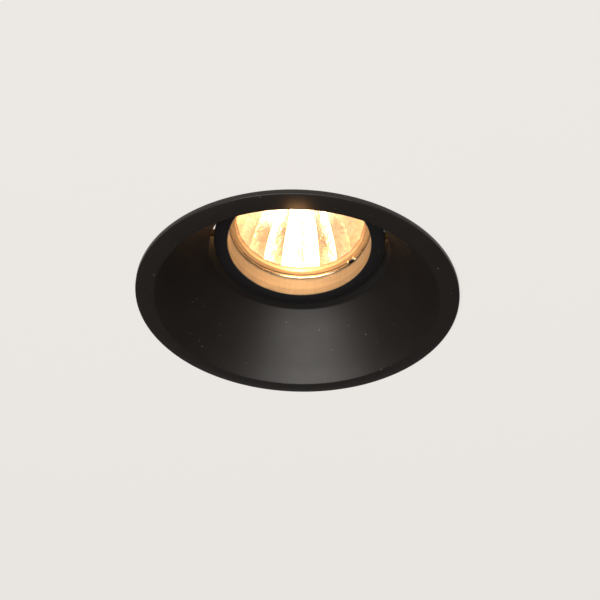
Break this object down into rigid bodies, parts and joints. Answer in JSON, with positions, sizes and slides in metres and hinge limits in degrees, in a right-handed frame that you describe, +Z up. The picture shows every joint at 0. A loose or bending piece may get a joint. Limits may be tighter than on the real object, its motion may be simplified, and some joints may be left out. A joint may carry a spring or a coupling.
{
  "type": "recessed tilting downlight",
  "caption": "Black recessed downlight with a deep conical baffle, a tilting lamp ring, a reflector lamp in its lampholder and folding spring clips.",
  "frame": {"origin": "centre of the flange's back face, where it rests on the soffit", "axes": "+Z up into the void behind the soffit, X along the tilt axis and through both spring clips, -Y to the side the lamp leans its beam towards"},
  "size_m": [0.1552, 0.11, 0.0969],
  "materials": {
    "trim_black": "satin black powder coat on cast aluminium",
    "ring_black": "satin black powder coat, bore left as machined metal",
    "circlip_steel": "bright round spring wire",
    "front_glass": "clear pressed glass",
    "reflector": "faceted glass with a bright coating inside",
    "quartz": "clear quartz",
    "filament": "tungsten, lit",
    "ceramic": "unglazed pale ceramic",
    "holder_ceramic": "unglazed white ceramic",
    "holder_cover": "heat-resistant moulding",
    "lamp_pins": "nickel-plated",
    "contacts": "phosphor bronze strip",
    "screws": "zinc-plated steel",
    "washers": "black nylon",
    "clip_steel": "zinc-plated spring steel sheet",
    "spring_wire": "bright spring wire",
    "sleeve": "soft black moulding"
  },
  "bodies": {
    "trim": {"baffle_trim": "trim_black", "clip_pins": "screws", "clip_pin_keepers": "spring_wire", "left_clip_spring": "spring_wire", "right_clip_spring": "spring_wire"},
    "tilting_head": {"gimbal_ring": "ring_black", "pivot_screws": "screws", "pivot_washers": "washers", "lamp_circlip": "circlip_steel", "lamp_reflector": "reflector", "lamp_front_glass": "front_glass", "lamp_capsule": "quartz", "lamp_filament": "filament", "lamp_cap": "ceramic", "lamp_pins": "lamp_pins"},
    "lampholder": {"lampholder_body": "holder_ceramic", "lampholder_cover": "holder_cover", "lampholder_contacts": "contacts", "lampholder_screws": "screws"},
    "left_clip": {"left_clip_arm": "clip_steel", "left_clip_sleeve": "sleeve"},
    "right_clip": {"right_clip_arm": "clip_steel", "right_clip_sleeve": "sleeve"}
  },
  "joints": [
    {"name": "head_tilt", "type": "hinge", "parent": "trim", "child": "tilting_head", "pos_m": [0, 0, 0.0296], "axis": [1, 0, 0], "range_deg": [-24, 36]},
    {"name": "lampholder_twist", "type": "hinge", "parent": "tilting_head", "child": "lampholder", "pos_m": [0, 0, 0.0296], "axis": [0, 0.1059, 0.9944], "range_deg": [0, 30]},
    {"name": "left_clip_fold", "type": "hinge", "parent": "trim", "child": "left_clip", "pos_m": [-0.0432, 0, 0.014], "axis": [0, 1, 0], "range_deg": [0, 105], "stiffness_Nm_per_rad": 0.15, "springref_deg": -45.84, "deforming": ["left_clip_spring"]},
    {"name": "right_clip_fold", "type": "hinge", "parent": "trim", "child": "right_clip", "pos_m": [0.0432, 0, 0.014], "axis": [0, -1, 0], "range_deg": [0, 105], "stiffness_Nm_per_rad": 0.15, "springref_deg": -45.84, "deforming": ["right_clip_spring"]}
  ]
}
